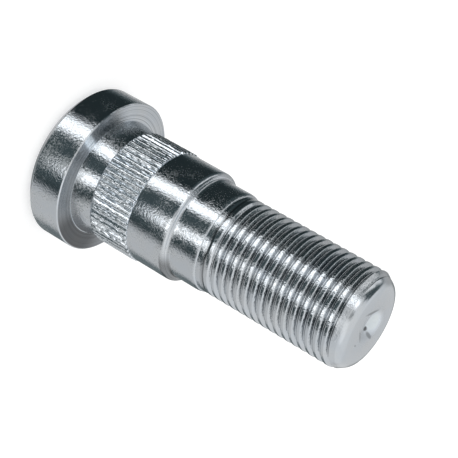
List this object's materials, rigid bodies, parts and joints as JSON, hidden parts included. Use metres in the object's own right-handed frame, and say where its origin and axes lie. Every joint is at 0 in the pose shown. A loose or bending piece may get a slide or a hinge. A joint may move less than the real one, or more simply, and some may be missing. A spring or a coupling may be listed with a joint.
{
  "type": "wheel bolt",
  "caption": "Headed wheel bolt with a round head, a straight-ridged press-fit band, a stepped shank and a fine thread with a chamfered end.",
  "frame": {"origin": "centre of the head's flat back face, on which the bolt stands", "axes": "+Z along the bolt's axis from the head to the threaded end; X and Y are any two radii"},
  "size_m": [0.0254, 0.0254, 0.0559],
  "materials": {
    "plated_steel": "bright zinc plate over turned and rolled steel, slightly mottled"
  },
  "bodies": {
    "root": {"wheel_stud": "plated_steel"}
  },
  "joints": []
}
